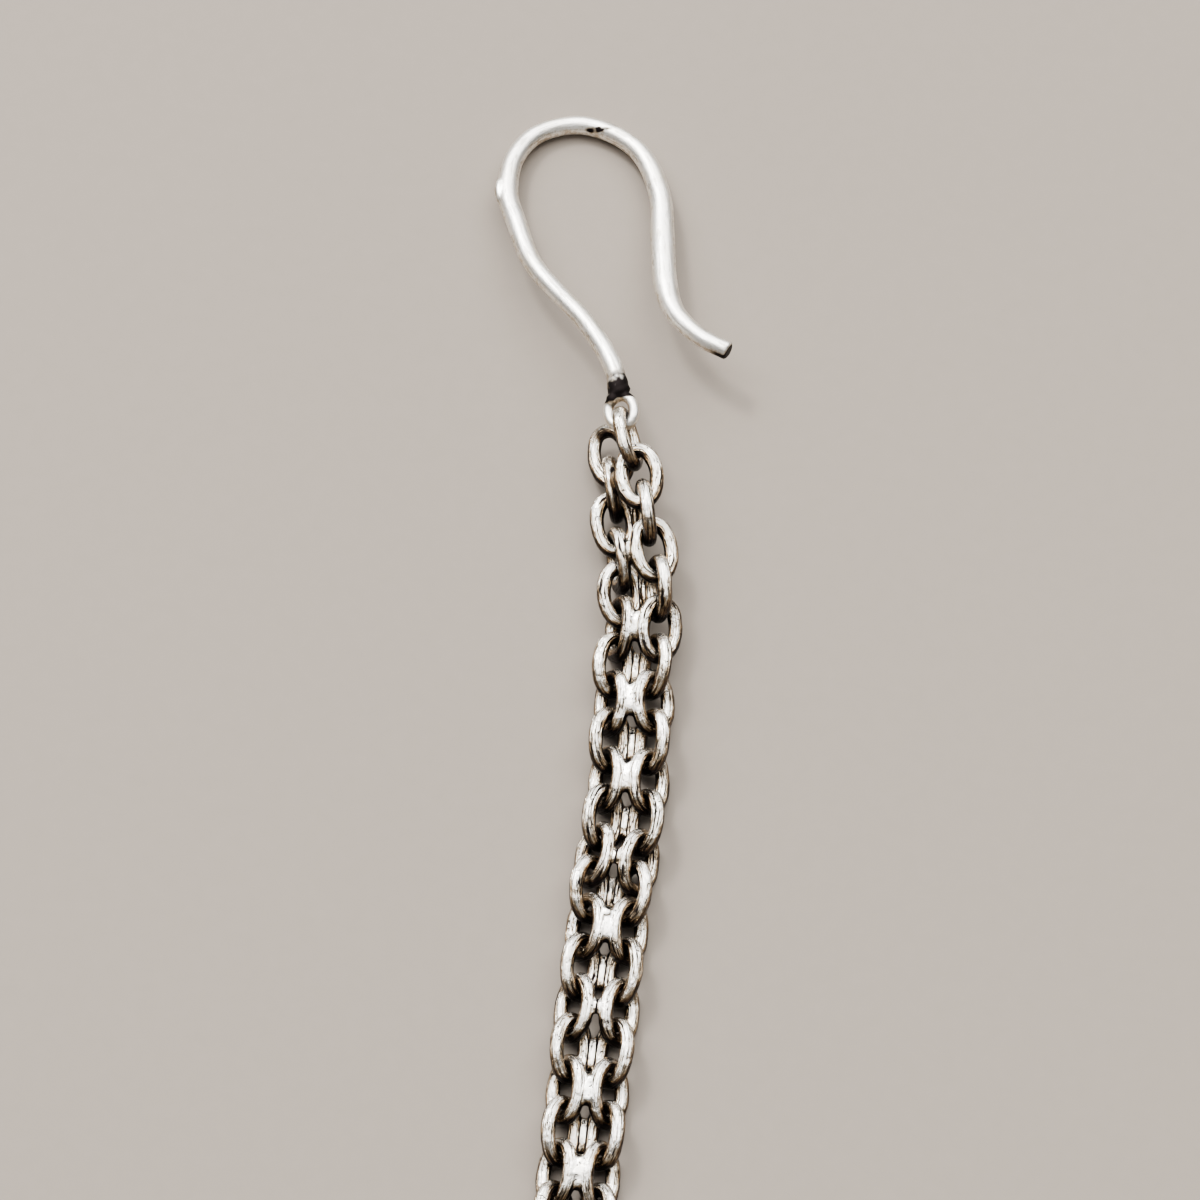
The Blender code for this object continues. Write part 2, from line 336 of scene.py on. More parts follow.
def joined_mesh(name, parts):
    """One mesh of several parts, which may cut into each other."""
    points = []
    faces = []
    for part_points, part_faces in parts:
        start = len(points)
        points.extend(part_points.tolist())
        faces.extend(tuple(start + index for index in face) for face in part_faces)
    mesh = bpy.data.meshes.new(name)
    mesh.from_pydata(points, [], faces)
    shape = bmesh.new()
    shape.from_mesh(mesh)
    bmesh.ops.recalc_face_normals(shape, faces=shape.faces)
    shape.to_mesh(mesh)
    shape.free()
    return mesh


def flowed(mesh, voxel):
    """One smooth skin round all the parts of a mesh, as solder flows between wires."""
    carrier = bpy.data.objects.new(mesh.name, mesh)
    bpy.context.scene.collection.objects.link(carrier)
    skin = carrier.modifiers.new("skin", "REMESH")
    skin.mode = "VOXEL"
    skin.voxel_size = voxel
    smooth = carrier.modifiers.new("smooth", "SMOOTH")
    smooth.factor = 0.5
    smooth.iterations = SMOOTHING_ROUNDS
    evaluated = carrier.evaluated_get(bpy.context.evaluated_depsgraph_get())
    result = bpy.data.meshes.new_from_object(evaluated)
    bpy.data.objects.remove(carrier, do_unlink=True)
    return result


def coordinates(mesh):
    """Vertex positions as an array."""
    values = np.empty(len(mesh.vertices) * 3)
    mesh.vertices.foreach_get("co", values)
    return values.reshape(-1, 3)


def place_points(mesh, points):
    """Give a mesh its vertex positions."""
    mesh.vertices.foreach_set("co", points.astype(np.float32).ravel())
    mesh.update()


def round_wire(points, centres, up, closed):
    """Where points lie round a wire: across and above it as shares, how far off, and the nearest centre."""
    sideways, upwards = wire_frames(centres, up, closed)
    distances = ((points[:, None, :] - centres[None, :, :]) ** 2).sum(axis=2)
    nearest = distances.argmin(axis=1)
    away = points - centres[nearest]
    across = (away * sideways[nearest]).sum(axis=1)
    above = (away * upwards[nearest]).sum(axis=1)
    reach = np.maximum(np.hypot(across, above), SMALLEST_REACH)
    return across / reach, above / reach, np.sqrt(distances.min(axis=1)), nearest


def store(mesh, name, values):
    """Keep a number or a vector for each vertex."""
    kind = "FLOAT" if values.ndim == 1 else "FLOAT_VECTOR"
    attribute = mesh.attributes.new(name, kind, "POINT")
    attribute.data.foreach_set("value" if values.ndim == 1 else "vector", values.astype(np.float32).ravel())


def normals_of(mesh):
    """Vertex normals as an array."""
    values = np.empty(len(mesh.vertices) * 3)
    mesh.vertex_normals.foreach_get("vector", values)
    return values.reshape(-1, 3)


def noise_at(points, size, shift=(0, 0, 0)):
    """Soft noise of the given size at each point."""
    return np.array([noise.noise(Vector(point) / size + Vector(shift)) for point in points.tolist()])


def dented(mesh, dents, seed):
    """Push a mesh in and out by soft noise, and give back its points."""
    points = coordinates(mesh)
    normals = normals_of(mesh)
    for size, depth, own_seed in dents:
        shift = [(seed + own_seed) * step for step in DENT_SHIFT]
        points = points + normals * (noise_at(points, size, shift) * depth)[:, None]
    place_points(mesh, points)
    return points


def add_piece(name, mesh, material, node):
    """Put a finished piece in the scene in place of its solid."""
    mesh.materials.clear()
    mesh.materials.append(material)
    mesh.shade_smooth()
    piece = bpy.data.objects.new(name, mesh)
    bpy.context.scene.collection.objects.link(piece)
    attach(piece, "root")
    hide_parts(node)


# Dents: size, depth and seed of each noise
DENT_SHIFT = (7.31, 3.17, 5.71)
LINK_DENTS = ((1.1, 0.05, 0), (0.42, 0.02, 50))
HOOK_DENTS = ((3.4, 0.03, 3), (0.9, 0.008, 4))

# Link pairs: how far each link may be out of true
LINK_SEED = 7
REACH_RANGE = (0.995, 1.005)
SPAN_RANGE = (0.97, 1.03)
LEAN_RANGE = (-0.05, 0.05)
SWELL = 0.025
SWELLS_ROUND = 2
LINK_FLATNESS = 0.98

# Width and length of the solder on the pairs that face up, where the photograph shows it
SOLDER_FLOW = {
    2: (0.7, 1.6),
    4: (0.7, 1.7),
    6: (1.05, 2.3),
    8: (1.1, 2.4),
    10: (1.0, 2.2),
    14: (1.1, 2.3),
    18: (1.05, 2.3),
    20: (1.1, 2.4),
}
SOLDER_USUAL = (0.85, 1.9)
SOLDER_THICKNESS = 0.80
SOLDER_SHIFT = (-0.1, 0.1)
SOLDER_LIFT = 0.02
LUMPS = 2
LUMP_WIDTH = 0.8
LUMP_ACROSS = (-0.2, 0.2)
LUMP_ALONG = (-0.35, 0.35)
LUMP_HEIGHT = (0, 0.12)
LUMP_LENGTH = (0.3, 0.45)
LUMP_THICKNESS = (0.6, 0.8)

# Solder in the seams that face down: its size, and what it varies by
INNER_SOLDER = (0.80, 2.5, 0.90)
INNER_ASIDE = 0.05
INNER_NARROWING = 0.10
INNER_THINNING = 0.08

# Pairs whose solder has split, with the bead that is left
SPLIT_PAIRS = (12, 16, 24, 30)
SPLIT_GAP = 0.16
SPLIT_BEAD = (0.5, 1.1, 0.55)
SPLIT_BEAD_HEIGHT = 0.12

# Black grooves along the seams: distance from the middle, half width, and height up to which they go
MIDDLE_GROOVE = (0.0, 0.07, 0.35)
INNER_GROOVES = (0.24, 0.05, 0.55)
GROOVE_SOFTNESS = 1.5
SPOT_SOFTNESS = 1.6

# Black spots at the two ends of a web: how far aside, at which end, and size
WEB_SPOTS = ((0.05, 1, (0.3, 0.55, 0.6)), (-0.05, -1, (0.3, 0.45, 0.6)))
WEB_SPOT_BEYOND = 0.1
WEB_SPOT_HEIGHT = 0.2

# Painted dark reflection on the left link of the first pair
DARK_ARC = (-PAIR_OFFSET, 1.6, 0)
DARK_ARC_SIZE = (1.5, 1.3, 1.6)
DARK_ARC_DEPTH = 0.5

# Where the wire's stripes fade into the solder, and how they run
WIRE_EDGE = LINK_WIRE / 2 + 0.08
WIRE_FADE = 0.06
GRAIN_SLANT = 0.35
GRAIN_SHIFT = 7.3


def leaning(side, apart=0.0):
    """Place of one link of a pair."""
    across = side * (PAIR_OFFSET + apart / 2)
    return Matrix.Translation((across, 0, 0)) @ Matrix.Rotation(-side * LINK_TILT, 4, "Y")


def link_line(rng):
    """Centre line of one link, a little out of true."""
    reach = LINK_REACH * rng.uniform(*REACH_RANGE)
    span = LINK_SPAN * rng.uniform(*SPAN_RANGE)
    centres = oval(reach, span, LINK_STEPS)
    lean = rng.uniform(*LEAN_RANGE)
    centres[:, 0] += lean * centres[:, 1] / LINK_REACH
    return centres


def solder_beads(number, rng):
    """Drops of solder along a pair's seam: over it on most pairs that face up, inside it on the others."""
    if number % 2 == 1:
        width, length, thickness = INNER_SOLDER
        aside = INNER_ASIDE * (number // 2 % 3 - 1)
        width = width - INNER_NARROWING * (number % 3)
        thickness = thickness - INNER_THINNING * (number // 2 % 2)
        spot = (aside, rng.uniform(*SOLDER_SHIFT), -PAIR_DEPTH + SOLDER_LIFT)
        return [bead(spot, (width, length, thickness))]
    if number in SPLIT_PAIRS:
        return [bead((0, rng.uniform(*SOLDER_SHIFT), -PAIR_DEPTH - SPLIT_BEAD_HEIGHT), SPLIT_BEAD)]
    width, length = SOLDER_FLOW.get(number, SOLDER_USUAL)
    beads = [bead((0, 0, -PAIR_DEPTH - SOLDER_LIFT), (width, length, SOLDER_THICKNESS))]
    for _ in range(LUMPS):
        across = rng.uniform(*LUMP_ACROSS) * width
        along = rng.uniform(*LUMP_ALONG) * length
        height = -PAIR_DEPTH - rng.uniform(*LUMP_HEIGHT)
        lump_length = rng.uniform(*LUMP_LENGTH) * length
        size = (width * LUMP_WIDTH, lump_length, rng.uniform(*LUMP_THICKNESS))
        beads.append(bead((across, along, height), size))
    return beads


def near(points, centre, size):
    """1 at a spot, falling to 0 at the given distances from it."""
    away = np.linalg.norm((points - np.array(centre)) / np.array(size), axis=1)
    return np.clip(SPOT_SOFTNESS * (1 - away), 0, 1)


def grooves(points, aside, half_width, height):
    """1 along the lines that run at the same distance on both sides of a pair's seam."""
    away = np.abs(np.abs(points[:, 0]) - aside)
    return np.clip(GROOVE_SOFTNESS - away / half_width, 0, 1) * (points[:, 2] < -PAIR_DEPTH + height)


def pair_soot_and_shade(number, points):
    """Black grooves and spots of one pair, and the painted dark reflection on the first pair, in its own
    frame.
    """
    if number % 2 == 1:
        soot_and_shade = grooves(points, *INNER_GROOVES)
    elif number in SPLIT_PAIRS:
        soot_and_shade = grooves(points, *MIDDLE_GROOVE)
    else:
        _, length = SOLDER_FLOW.get(number, SOLDER_USUAL)
        soot_and_shade = np.zeros(len(points))
        for aside, end, size in WEB_SPOTS:
            spot = (aside, end * (length / 2 + WEB_SPOT_BEYOND), -PAIR_DEPTH - WEB_SPOT_HEIGHT)
            soot_and_shade = np.maximum(soot_and_shade, near(points, spot, size))
    # Painted dark reflection on the first pair's left link
    if number == 1:
        soot_and_shade = np.maximum(soot_and_shade, DARK_ARC_DEPTH * near(points, DARK_ARC, DARK_ARC_SIZE))
    return soot_and_shade


def link_pair_mesh(number, rng):
    """Two oval links leaning apart, with solder run along their seam."""
    parts = []
    lines = []
    apart = SPLIT_GAP if number in SPLIT_PAIRS else 0.0
    angles = np.arange(LINK_STEPS) * 2 * np.pi / LINK_STEPS
    for side in (-1, 1):
        line = link_line(rng)
        swell = 1 + SWELL * np.sin(angles * SWELLS_ROUND + rng.uniform(0, 6))
        half = LINK_WIRE / 2 * swell
        place = leaning(side, apart)
        parts.append(moved(tube(line, (0, 0, 1), half, half * LINK_FLATNESS, LINK_SIDES, True), place))
        lines.append((line, place))
    parts.extend(solder_beads(number, rng))
    mesh = flowed(joined_mesh("links", parts), LINK_VOXEL)
    points = dented(mesh, LINK_DENTS, number)
    found = []
    for line, place in lines:
        local, _ = moved((points, []), place.inverted())
        found.append(round_wire(local, line, (0, 0, 1), True))
    left = found[0][2] < found[1][2]
    across = np.where(left, found[0][0], found[1][0])
    above = np.where(left, found[0][1], found[1][1])
    along = points[:, 1] + GRAIN_SLANT * points[:, 0] + GRAIN_SHIFT * number
    away = np.minimum(found[0][2], found[1][2])
    store(mesh, "grain", np.stack([across, above, along], axis=1))
    store(mesh, "wire", np.clip((WIRE_EDGE - away) / WIRE_FADE, 0, 1))
    store(mesh, "soot_and_shade", pair_soot_and_shade(number, points))
    return mesh


def link_pairs(frames):
    """All the link pairs, each a mesh in the row's frame, in metres."""
    rng = random.Random(LINK_SEED)
    meshes = {}
    for index, place in enumerate(frames):
        mesh = link_pair_mesh(index + 1, rng)
        flip = Matrix.Rotation(math.pi * (index % 2), 4, "Y")
        mesh.transform(Matrix.Scale(MM, 4) @ place @ flip)
        mesh.update()
        meshes[f"double_link_{index + 1:02d}"] = mesh
    return meshes


# Hook: where its burr and a dark patch lie along the outline
BURR_PLACE = 5.0 / (len(HOOK_OUTLINE) - 1)
BURR_AWAY = (-HOOK_WIRE / 2 * 0.92, 0, 0.25)
BURR_SIZE = (0.62, 1.9, 0.7)
DARK_PATCH_PLACE = 8.55 / (len(HOOK_OUTLINE) - 1)
DARK_PATCH_AWAY = (-0.2, -HOOK_WIRE / 2 * 0.40, 0.45)
DARK_PATCH_SIZE = (1.55, 0.25, 0.5)
DARK_PATCH_DARKNESS = 0.85
DARK_PATCH_MOTTLE = 0.7
DARK_PATCH_RANGE = (0.45, 1.2)

# Cut end: reach of its rounding and size of its face, as shares of the half width, and the painted shade on
# its lower side
CUT_REACH = 0.3
CUT_FACE = 0.78
CUT_GAIN = 0.22
CUT_PAINTED_SHADE = 0.75
CUT_PAINTED_SHADE_SIZE = (1.8, 1.8, 1.8)
CUT_PAINTED_SHADE_FACING = 0.62
CUT_PAINTED_SHADE_FADE = 0.25

# Hammered stretch: share of gauge from which it counts, over how much it grows, and how flat it is
HAMMERED_FROM = 1.08
HAMMERED_OVER = 0.18
HAMMERED_FLATNESS = 0.16

# Solder at the hook's ring: place from the joint, size, and turn of each further bead
HOOK_SOLDER_ROUNDNESS = 0.9
HOOK_BEADS = (
    ((0.15, 0.35, 0.15), (1.5, 0.9, 1.1), 0.4),
    ((-0.35, -0.2, 0.1), (0.9, 0.9, 0.9), 0.0),
)

# Soot on that solder: height, slant and softness of its upper and its lower edge, and its shades
FOOT_STRETCH = (1.0, 1.15, 1.0)
FOOT_TOP = (1.25, 0.35, 0.30)
FOOT_BOTTOM = (0.97, 0.80, 0.20)
FOOT_SHOULDER = 0.3
FOOT_REACH = 3
FOOT_DARKNESS = 0.66
FOOT_DARKER_RIGHT = 0.30
FOOT_PALER_UP = 0.40
FOOT_PALEST = 0.34
MOTTLE_SIZE = 0.33
MOTTLE_DEPTH = 0.30
CRUMB_SIZE = 0.20
CRUMB_DEPTH = 0.15


def hook_line(joint):
    """Centres of the hook's wire and its share of gauge at each."""
    outline = []
    for across, along, share in HOOK_OUTLINE:
        x = joint.x + across * HOOK_WIDTH
        y = joint.y + along * HOOK_LENGTH
        height = joint.z + (HOOK_WIRE / 2 - joint.z) * along
        outline.append(Vector((x, y, height, share)))
    line = smooth_line(outline, HOOK_STEPS)
    return np.array([tuple(point) for point in line])


def lengths_along(centres):
    """Length of a wire from its start to each of its centres."""
    steps = np.linalg.norm(np.diff(centres, axis=0), axis=1)
    return np.concatenate([[0.0], np.cumsum(steps)])


def cut_end(centres, half):
    """Half widths of a wire whose last edge is slightly rounded where it was cut."""
    lengths = lengths_along(centres)
    left = np.clip((lengths[-1] - lengths) / (half * CUT_REACH), 0, 1)
    return half * (CUT_FACE + CUT_GAIN * np.sqrt(1 - (1 - left) ** 2))


def hook_mesh(ring_frame):
    """Bent wire, its ring and the solder between them."""
    joint = ring_frame @ Vector((0, HOOK_RING_LENGTH / 2, 0))
    line = hook_line(joint)
    centres = line[:, :3]
    half = HOOK_WIRE / 2 * line[:, 3]
    flat = np.clip((line[:, 3] - HAMMERED_FROM) / HAMMERED_OVER, 0, 1)
    half_wide = cut_end(centres, half)
    half_high = half_wide * (1 - HAMMERED_FLATNESS * flat)
    slope = Vector((0, HOOK_LENGTH, HOOK_WIRE / 2 - joint.z)).normalized()
    up = Vector((1, 0, 0)).cross(slope)
    wire = tube(centres, up, half_wide, half_high, HOOK_SIDES, False)
    ring_line = oval(HOOK_RING_LENGTH, HOOK_RING_SPAN, LINK_STEPS)
    ring_half = HOOK_RING_WIRE / 2
    ring = moved(tube(ring_line, (0, 0, 1), ring_half, ring_half, LINK_SIDES, True), ring_frame)
    base = joint + Vector((0, (HOOK_SOLDER_LENGTH - HOOK_RING_WIRE) / 2, 0))
    thickness = HOOK_SOLDER_WIDTH * HOOK_SOLDER_ROUNDNESS
    solder = [bead(base, (thickness, HOOK_SOLDER_LENGTH, thickness))]
    for away, size, turn in HOOK_BEADS:
        solder.append(bead(joint + Vector(away), size, turn))
    side = centres[round(HOOK_STEPS * BURR_PLACE)]
    burr = bead(side + np.array(BURR_AWAY), BURR_SIZE)
    mesh = flowed(joined_mesh("hook", [wire, ring, *solder, burr]), HOOK_VOXEL)
    points = dented(mesh, HOOK_DENTS, 0)
    across, above, _, nearest = round_wire(points, centres, up, False)
    along = lengths_along(centres)[nearest]
    store(mesh, "grain", np.stack([across, above, along], axis=1))
    store(mesh, "wire", np.ones(len(points)))
    store(mesh, "soot_and_shade", hook_soot_and_shade(points, normals_of(mesh), centres, np.array(base)))
    mesh.transform(Matrix.Scale(MM, 4))
    mesh.update()
    return mesh


def foot_soot(points, base, mottle):
    """Black on the solder at the hook's ring, between two slanting edges and paler at its upper left."""
    away = (points - base) / np.array(FOOT_STRETCH)
    across = away[:, 0]
    along = away[:, 1]
    height, slant, softness = FOOT_TOP
    foot = np.clip((height + slant * across - along) / softness, 0, 1)
    foot = foot * np.clip(FOOT_REACH - np.linalg.norm(away, axis=1), 0, 1)
    height, slant, softness = FOOT_BOTTOM
    foot = foot * np.clip((along - slant * np.clip(across, -FOOT_SHOULDER, 0) + height) / softness, 0, 1)
    shade = FOOT_DARKNESS + FOOT_DARKER_RIGHT * across - FOOT_PALER_UP * along
    shade = shade + MOTTLE_DEPTH * mottle + CRUMB_DEPTH * noise_at(points, CRUMB_SIZE)
    return foot * np.clip(shade, FOOT_PALEST, 1)


def hook_soot_and_shade(points, normals, centres, base):
    """Black solder at the ring, a dark patch inside the top of the bend, and painted shade on the lower
    side of the cut end.
    """
    mottle = noise_at(points, MOTTLE_SIZE)
    # Dark patch inside the top of the bend
    inner = centres[round(HOOK_STEPS * DARK_PATCH_PLACE)] + np.array(DARK_PATCH_AWAY)
    dark_patch = near(points, inner, DARK_PATCH_SIZE) * np.clip(DARK_PATCH_DARKNESS + DARK_PATCH_MOTTLE * mottle, *DARK_PATCH_RANGE)
    soot_and_shade = np.maximum(foot_soot(points, base, mottle), dark_patch)
    # Painted shade on the lower side of the cut end
    low = np.clip((CUT_PAINTED_SHADE_FACING - normals[:, 2]) / CUT_PAINTED_SHADE_FADE, 0, 1)
    return np.maximum(soot_and_shade, CUT_PAINTED_SHADE * low * near(points, centres[-1], CUT_PAINTED_SHADE_SIZE))


# End ring and drop
def end_ring_mesh(centre):
    """Plain jump ring lying flat."""
    line = oval(END_RING_DIAMETER, END_RING_DIAMETER, LINK_STEPS * 2)
    half = END_RING_WIRE / 2
    ring = moved(tube(line, (0, 0, 1), half, half, LINK_SIDES, True), Matrix.Translation(centre))
    mesh = joined_mesh("end_ring", [ring])
    points = coordinates(mesh)
    across, above, _, _ = round_wire(points, line + np.array(centre), (0, 0, 1), True)
    store(mesh, "grain", np.stack([across, above, points[:, 1]], axis=1))
    store(mesh, "wire", np.ones(len(points)))
    store(mesh, "soot_and_shade", np.zeros(len(points)))
    mesh.transform(Matrix.Scale(MM, 4))
    mesh.update()
    return mesh


def turned(profile, steps):
    """Vertices and faces of a profile of radius and height turned about Z, from axis to axis."""
    angles = 2 * np.pi * np.arange(steps) / steps
    points = [(0.0, 0.0, profile[0][1])]
    for radius, height in profile[1:-1]:
        points.extend((radius * math.cos(a), radius * math.sin(a), height) for a in angles)
    points.append((0.0, 0.0, profile[-1][1]))
    faces = []
    last = len(profile) - 3
    for side in range(steps):
        across = (side + 1) % steps
        faces.append((0, 1 + across, 1 + side))
        for ring in range(last):
            low = 1 + ring * steps
            faces.append((low + side, low + across, low + steps + across, low + steps + side))
        top = 1 + last * steps
        faces.append((top + side, top + across, len(points) - 1))
    return np.array(points), faces


# Drop's section: shares of the back's radius, its roundings, and the groove from the rim to the dome
BACK_SHARES = (0.3, 0.6, 0.9)
BACK_ROUNDING = 0.2
BACK_STEPS = 6
RIM_ROUNDING = 0.35
RIM_STEPS = 8
RIM_GROOVE = ((0.5, 0.0), (0.25, 0.1), (0.0, 0.06))
DOME_STEPS = 24
PLATE_GRAIN = (1.0, 1.0, 0.2)
RING_SOOT = (0.8, 0.5)


def drop_profile():
    """Section of the drop: flat back, rounded rim, a groove and the low dome."""
    radius = DROP_DIAMETER / 2
    dome_radius = radius - DROP_RIM_WIDTH
    profile = [(0.0, 0.0)]
    profile += [(radius * share, 0.0) for share in BACK_SHARES]
    for step in range(BACK_STEPS + 1):
        angle = math.pi / 2 * step / BACK_STEPS
        out = radius - BACK_ROUNDING + BACK_ROUNDING * math.sin(angle)
        profile.append((out, BACK_ROUNDING - BACK_ROUNDING * math.cos(angle)))
    for step in range(RIM_STEPS + 1):
        angle = math.pi / 2 * step / RIM_STEPS
        out = radius - RIM_ROUNDING + RIM_ROUNDING * math.cos(angle)
        profile.append((out, DROP_RIM_HEIGHT - RIM_ROUNDING * (1 - math.sin(angle))))
    for out, depth in RIM_GROOVE:
        profile.append((dome_radius + out, DROP_RIM_HEIGHT - depth))
    for step in range(1, DOME_STEPS):
        angle = math.pi / 2 * step / DOME_STEPS
        height = DROP_RIM_HEIGHT + (DROP_DOME_HEIGHT - DROP_RIM_HEIGHT) * math.sin(angle)
        profile.append((dome_radius * math.cos(angle), height))
    profile.append((0.0, DROP_DOME_HEIGHT))
    return profile


def drop_mesh(centre):
    """Round domed plate with its upright ring."""
    plate = turned(drop_profile(), PLATE_STEPS)
    line = oval(DROP_RING_LENGTH, DROP_RING_HEIGHT, LINK_STEPS)
    half = DROP_RING_WIRE / 2
    seat = DROP_DIAMETER / 2 + DROP_RING_LENGTH / 2 - DROP_RING_SEAT
    stand = Matrix.Translation((0, seat, DROP_RING_HEIGHT / 2 + half))
    upright = stand @ Matrix.Rotation(math.radians(90), 4, "Y")
    ring = moved(tube(line, (0, 0, 1), half, half, LINK_SIDES, True), upright)
    mesh = joined_mesh("drop", [moved(plate, Matrix()), ring])
    points = coordinates(mesh)
    store(mesh, "grain", points * np.array(PLATE_GRAIN))
    store(mesh, "wire", np.ones(len(points)))
    across = points[:, 0] / RING_SOOT[0]
    along = (points[:, 1] - DROP_DIAMETER / 2) / RING_SOOT[1]
    store(mesh, "soot_and_shade", np.exp(-(along**2) - across**2))
    mesh.transform(Matrix.Scale(MM, 4) @ Matrix.Translation(centre))
    mesh.update()
    return mesh


# Where tarnish gathers in hollows: cell and margin of the grid, and the side from which painted light
# falls, which lightens the surfaces facing it and puts painted shade on those turned away
SHELTER_CELL = 0.16
SHELTER_MARGIN = 3
PAINTED_LIGHT_FROM = (0.0, 0.42, 0.908)
# Share of shelter kept on surfaces turned away from that side, and how much painted light takes off it on
# surfaces facing it
TURNED_AWAY = 1.15
TURNED_GAIN = 0.75

# Width of each blur, how far in front of the surface it is read, and its share
BLUR_REACH = 3
SHELTER_SCALES = ((0.32, 0.40, 0.55), (0.75, 0.80, 0.45))


def vertex_areas(mesh):
    """Share of the mesh's area that belongs to each vertex, in square millimetres."""
    corners = np.empty(len(mesh.loops), int)
    mesh.loops.foreach_get("vertex_index", corners)
    areas = np.empty(len(mesh.polygons))
    mesh.polygons.foreach_get("area", areas)
    counts = np.empty(len(mesh.polygons), int)
    mesh.polygons.foreach_get("loop_total", counts)
    return np.bincount(corners, np.repeat(areas / counts, counts), len(mesh.vertices)) / MM**2


def softened(grid, width):
    """A grid blurred evenly in all three directions, by a width in cells."""
    reach = int(BLUR_REACH * width) + 1
    weights = np.exp(-((np.arange(-reach, reach + 1) / width) ** 2) / 2)
    weights /= weights.sum()
    for axis in range(3):
        result = np.zeros_like(grid)
        for offset, weight in zip(range(-reach, reach + 1), weights):
            result += np.roll(grid, offset, axis=axis) * np.float32(weight)
        grid = result
    return grid


def shelter_pieces(meshes):
    """Keep for each vertex how much metal surface lies close in front of it."""
    places = [coordinates(mesh) / MM for mesh in meshes]
    low = np.concatenate(places).min(axis=0) - SHELTER_MARGIN
    high = np.concatenate(places).max(axis=0) + SHELTER_MARGIN
    cells = np.ceil((high - low) / SHELTER_CELL).astype(int)
    grid = np.zeros(cells, np.float32)
    for mesh, points in zip(meshes, places):
        spots = ((points - low) / SHELTER_CELL).astype(int)
        np.add.at(grid, tuple(spots.T), vertex_areas(mesh).astype(np.float32))
    totals = [0] * len(meshes)
    for width, lift, share in SHELTER_SCALES:
        blurred = softened(grid, width / SHELTER_CELL) / SHELTER_CELL**3
        for index, (mesh, points) in enumerate(zip(meshes, places)):
            spots = (points + normals_of(mesh) * lift - low) / SHELTER_CELL
            totals[index] = totals[index] + share * width * blurred[tuple(spots.astype(int).T)]
    for mesh, total in zip(meshes, totals):
        # Painted light and shade: less shelter on surfaces facing the light, and the facing that sets
        # painted shade on surfaces turned away
        facing = normals_of(mesh) @ np.array(PAINTED_LIGHT_FROM)
        store(mesh, "shelter", total * (TURNED_AWAY - TURNED_GAIN * np.clip(facing, 0, 1)))
        store(mesh, "facing", facing)


# Materials
class Nodes:
    """Short ways to add nodes to a material."""

    def __init__(self, name):
        self.material = bpy.data.materials.new(name)
        self.material.use_nodes = True
        self.tree = self.material.node_tree
        self.shader = self.tree.nodes["Principled BSDF"]

    def add(self, kind, **settings):
        node = self.tree.nodes.new(kind)
        for key, value in settings.items():
            setattr(node, key, value)
        return node

    def join(self, source, target):
        self.tree.links.new(source, target)

    def feed(self, socket, value):
        if isinstance(value, (int, float, tuple)):
            socket.default_value = value
        else:
            self.join(value, socket)

    def attribute(self, name, vector=False):
        node = self.add("ShaderNodeAttribute", attribute_name=name)
        return node.outputs["Vector" if vector else "Fac"]

    def math(self, operation, first, second=0.0, third=0.0):
        node = self.add("ShaderNodeMath", operation=operation)
        for socket, value in zip(node.inputs, (first, second, third)):
            self.feed(socket, value)
        return node.outputs[0]

    def stretch(self, vector, factors):
        node = self.add("ShaderNodeVectorMath", operation="MULTIPLY")
        self.feed(node.inputs[0], vector)
        self.feed(node.inputs[1], factors)
        return node.outputs[0]

    def noise(self, vector, scale, detail, roughness=0.55, distortion=0.0):
        node = self.add("ShaderNodeTexNoise")
        self.feed(node.inputs["Vector"], vector)
        node.inputs["Scale"].default_value = scale
        node.inputs["Detail"].default_value = detail
        node.inputs["Roughness"].default_value = roughness
        node.inputs["Distortion"].default_value = distortion
        return node.outputs["Fac"]

    def step(self, value, low, high):
        """0 below low, 1 above high, smooth between."""
        node = self.add("ShaderNodeMapRange", interpolation_type="SMOOTHSTEP")
        self.feed(node.inputs["Value"], value)
        node.inputs["From Min"].default_value = low
        node.inputs["From Max"].default_value = high
        return node.outputs["Result"]

    def mix(self, share, first, second):
        node = self.add("ShaderNodeMix", data_type="RGBA")
        self.feed(node.inputs["Factor"], share)
        self.feed(node.inputs["A"], first)
        self.feed(node.inputs["B"], second)
        return node.outputs["Result"]

    def bump(self, height, distance):
        node = self.add("ShaderNodeBump")
        node.inputs["Strength"].default_value = 1.0
        node.inputs["Distance"].default_value = distance
        self.feed(node.inputs["Height"], height)
        return node.outputs["Normal"]


SILVER = (0.97, 0.95, 0.91, 1.0)
SILVER_SHADE = (0.86, 0.82, 0.74, 1.0)
TAN = (0.58, 0.48, 0.36, 1.0)
GOLDEN = (0.34, 0.23, 0.12, 1.0)
TARNISH = (0.085, 0.05, 0.027, 1.0)
OXIDE = (0.009, 0.007, 0.007, 1.0)

# Noises in the silver: scale, detail, roughness and distortion
PATCH_NOISE = (0.55, 4.0)
FINE_NOISE = (3.4, 5.0, 0.65)
PIT_NOISE = (4.0, 1.5)
DRAWN_NOISE = (1.5, 3.0, 0.6, 0.3)
DRAWN_STRETCH = (2.1, 2.1, 0.42)
DRAWN_MIDDLE = 0.47

# Depth of wear, tarnish and painted shade from which each tint begins, and at which it is full
TINT_STEPS = ((TAN, 0.10, 0.32), (GOLDEN, 0.32, 0.54), (TARNISH, 0.50, 0.72))
BLACK_STEP = (0.74, 1.00)
SOOT_AND_SHADE_STEP = (0.15, 0.65)
SCORED_STEP = (0.53, 0.62)
PIT_STEP = (0.655, 0.715)
PATCH_STEP = (0.35, 0.7)
# Facing below which the painted shade is full, and above which it is gone
FACING_STEP = (0.05, 0.98)

# What the stripes, the fine noise, and the soot and painted shade of the marks add to that depth
STRIPE_DEPTH = 1.5
FINE_DEPTH = 0.65
SOOT_AND_SHADE_DEPTH = 0.3

